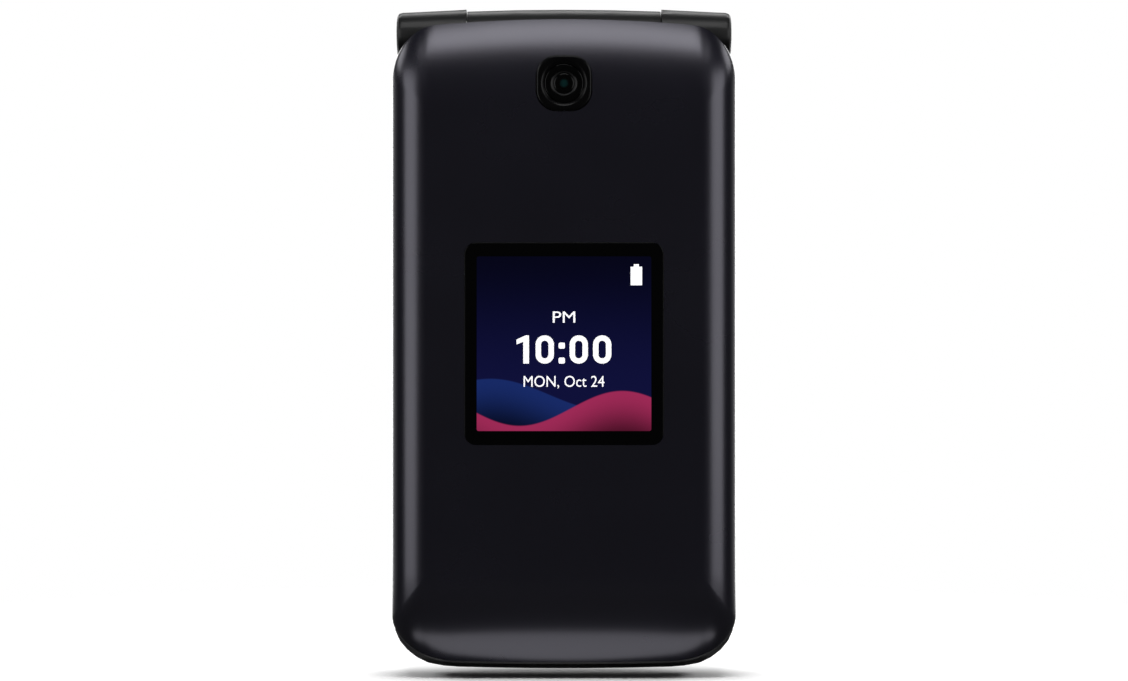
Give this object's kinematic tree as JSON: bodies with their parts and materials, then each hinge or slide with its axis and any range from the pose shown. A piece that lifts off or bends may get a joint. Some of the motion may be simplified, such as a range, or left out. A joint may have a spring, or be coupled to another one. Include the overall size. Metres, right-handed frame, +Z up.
{
  "type": "flip phone",
  "caption": "Folding mobile phone: lid with outer display and camera on a barrel hinge, keypad base with side keys, jack, micro-USB port and removable battery cover.",
  "frame": {"origin": "on the flat back face of the battery cover, at mid width and mid height", "axes": "+Y out of the back face, +Z up towards the hinge barrel, +X towards the side with the keys"},
  "size_m": [0.0544, 0.0191, 0.105],
  "materials": {
    "shell_gloss": "dark graphite gloss",
    "housing_satin": "black satin",
    "cover_matte": "black, fine knurled texture",
    "window_black": "glossy black window",
    "lens_glass": "clear lens window",
    "display": "display panel",
    "key_rubber": "black key",
    "rubber": "black rubber",
    "steel": "steel",
    "gold": "gold-plated contact",
    "board": "green circuit board",
    "film": "polyester film",
    "flex": "amber flexible circuit",
    "black_part": "black moulded part",
    "mesh": "dark woven mesh",
    "battery": "dark grey sleeve"
  },
  "bodies": {
    "base": {"base_front_housing": "housing_satin", "base_rear_housing": "housing_satin", "main_circuit_board": "board", "key_dome_sheet": "film", "loudspeaker": "black_part", "vibration_motor": "steel", "micro_usb_connector": "steel", "audio_jack": "black_part", "sim_card_socket": "steel", "microphone": "gold", "antenna": "gold", "base_screws": "steel", "hinge_cartridge": "steel", "strap_eyelet_cap": "shell_gloss", "hinge_end_cap": "shell_gloss", "hinge_pivot": "steel", "display_cable_base": "flex", "battery_contacts": "gold", "side_switches": "steel"},
    "cover": {"battery_cover": "cover_matte", "speaker_mesh": "mesh"},
    "battery_pack": {"battery": "battery"},
    "lid": {"lid_outer_shell": "shell_gloss", "lid_inner_housing": "housing_satin", "outer_display_window": "window_black", "outer_display_panel": "display", "camera_bezel": "shell_gloss", "camera_lens": "lens_glass", "camera_module": "black_part", "inner_display_window": "window_black", "inner_display_panel": "display", "earpiece": "black_part", "earpiece_mesh": "mesh", "lid_circuit_board": "board", "lid_bumpers": "rubber", "lid_screws": "steel", "hinge_shaft": "steel", "display_cable_lid": "flex"},
    "nav_gimbal": {"nav_gimbal": "black_part"},
    "nav_ring": {"nav_ring": "key_rubber"},
    "ok_key": {"ok_key": "key_rubber"},
    "soft_key_left": {"soft_key_left": "key_rubber"},
    "soft_key_right": {"soft_key_right": "key_rubber"},
    "call_key": {"call_key": "key_rubber"},
    "clear_key": {"clear_key": "key_rubber"},
    "end_key": {"end_key": "key_rubber"},
    "key_1": {"key_1": "key_rubber"},
    "key_2": {"key_2": "key_rubber"},
    "key_3": {"key_3": "key_rubber"},
    "key_4": {"key_4": "key_rubber"},
    "key_5": {"key_5": "key_rubber"},
    "key_6": {"key_6": "key_rubber"},
    "key_7": {"key_7": "key_rubber"},
    "key_8": {"key_8": "key_rubber"},
    "key_9": {"key_9": "key_rubber"},
    "key_star": {"key_star": "key_rubber"},
    "key_0": {"key_0": "key_rubber"},
    "key_hash": {"key_hash": "key_rubber"},
    "side_key": {"side_key": "housing_satin"},
    "volume_rocker": {"volume_rocker": "housing_satin"}
  },
  "joints": [
    {"name": "lid_hinge", "type": "hinge", "parent": "base", "child": "lid", "pos_m": [0, -0.0098, 0.0484], "axis": [-1, 0, 0], "range_deg": [0, 145]},
    {"name": "battery_cover_slide", "type": "slide", "parent": "base", "child": "cover", "axis": [0, 1, 0], "range_m": [0, 0.03]},
    {"name": "battery_slide", "type": "slide", "parent": "base", "child": "battery_pack", "axis": [0, 1, 0], "range_m": [0, 0.015]},
    {"name": "ok_key_press", "type": "slide", "parent": "base", "child": "ok_key", "axis": [0, 1, 0], "range_m": [0, 0.0003], "stiffness_N_per_m": 400, "springref_m": -0.0004},
    {"name": "soft_key_left_press", "type": "slide", "parent": "base", "child": "soft_key_left", "axis": [0, 1, 0], "range_m": [0, 0.0003], "stiffness_N_per_m": 400, "springref_m": -0.0004},
    {"name": "soft_key_right_press", "type": "slide", "parent": "base", "child": "soft_key_right", "axis": [0, 1, 0], "range_m": [0, 0.0003], "stiffness_N_per_m": 400, "springref_m": -0.0004},
    {"name": "call_key_press", "type": "slide", "parent": "base", "child": "call_key", "axis": [0, 1, 0], "range_m": [0, 0.0003], "stiffness_N_per_m": 400, "springref_m": -0.0004},
    {"name": "clear_key_press", "type": "slide", "parent": "base", "child": "clear_key", "axis": [0, 1, 0], "range_m": [0, 0.0003], "stiffness_N_per_m": 400, "springref_m": -0.0004},
    {"name": "end_key_press", "type": "slide", "parent": "base", "child": "end_key", "axis": [0, 1, 0], "range_m": [0, 0.0003], "stiffness_N_per_m": 400, "springref_m": -0.0004},
    {"name": "key_1_press", "type": "slide", "parent": "base", "child": "key_1", "axis": [0, 1, 0], "range_m": [0, 0.0003], "stiffness_N_per_m": 400, "springref_m": -0.0004},
    {"name": "key_2_press", "type": "slide", "parent": "base", "child": "key_2", "axis": [0, 1, 0], "range_m": [0, 0.0003], "stiffness_N_per_m": 400, "springref_m": -0.0004},
    {"name": "key_3_press", "type": "slide", "parent": "base", "child": "key_3", "axis": [0, 1, 0], "range_m": [0, 0.0003], "stiffness_N_per_m": 400, "springref_m": -0.0004},
    {"name": "key_4_press", "type": "slide", "parent": "base", "child": "key_4", "axis": [0, 1, 0], "range_m": [0, 0.0003], "stiffness_N_per_m": 400, "springref_m": -0.0004},
    {"name": "key_5_press", "type": "slide", "parent": "base", "child": "key_5", "axis": [0, 1, 0], "range_m": [0, 0.0003], "stiffness_N_per_m": 400, "springref_m": -0.0004},
    {"name": "key_6_press", "type": "slide", "parent": "base", "child": "key_6", "axis": [0, 1, 0], "range_m": [0, 0.0003], "stiffness_N_per_m": 400, "springref_m": -0.0004},
    {"name": "key_7_press", "type": "slide", "parent": "base", "child": "key_7", "axis": [0, 1, 0], "range_m": [0, 0.0003], "stiffness_N_per_m": 400, "springref_m": -0.0004},
    {"name": "key_8_press", "type": "slide", "parent": "base", "child": "key_8", "axis": [0, 1, 0], "range_m": [0, 0.0003], "stiffness_N_per_m": 400, "springref_m": -0.0004},
    {"name": "key_9_press", "type": "slide", "parent": "base", "child": "key_9", "axis": [0, 1, 0], "range_m": [0, 0.0003], "stiffness_N_per_m": 400, "springref_m": -0.0004},
    {"name": "key_star_press", "type": "slide", "parent": "base", "child": "key_star", "axis": [0, 1, 0], "range_m": [0, 0.0003], "stiffness_N_per_m": 400, "springref_m": -0.0004},
    {"name": "key_0_press", "type": "slide", "parent": "base", "child": "key_0", "axis": [0, 1, 0], "range_m": [0, 0.0003], "stiffness_N_per_m": 400, "springref_m": -0.0004},
    {"name": "key_hash_press", "type": "slide", "parent": "base", "child": "key_hash", "axis": [0, 1, 0], "range_m": [0, 0.0003], "stiffness_N_per_m": 400, "springref_m": -0.0004},
    {"name": "nav_tilt_up_down", "type": "hinge", "parent": "base", "child": "nav_gimbal", "pos_m": [0, -0.00915, 0.0182], "axis": [1, 0, 0], "range_deg": [-0.8, 0.8], "stiffness_Nm_per_rad": 0.05},
    {"name": "nav_tilt_left_right", "type": "hinge", "parent": "nav_gimbal", "child": "nav_ring", "pos_m": [0, -0.00915, 0.0182], "axis": [0, 0, 1], "range_deg": [-0.8, 0.8], "stiffness_Nm_per_rad": 0.05},
    {"name": "side_key_press", "type": "slide", "parent": "base", "child": "side_key", "axis": [-1, 0, 0], "range_m": [0, 0.00035], "stiffness_N_per_m": 400, "springref_m": -0.0004},
    {"name": "volume_rocker_tilt", "type": "hinge", "parent": "base", "child": "volume_rocker", "pos_m": [0.02525, -0.00665, -0.0015], "axis": [0, 1, 0], "range_deg": [-0.6, 0.6], "stiffness_Nm_per_rad": 0.05}
  ],
  "couplings": [
    {"joint": "battery_slide", "follows": "battery_cover_slide", "ratio": 0.5}
  ]
}
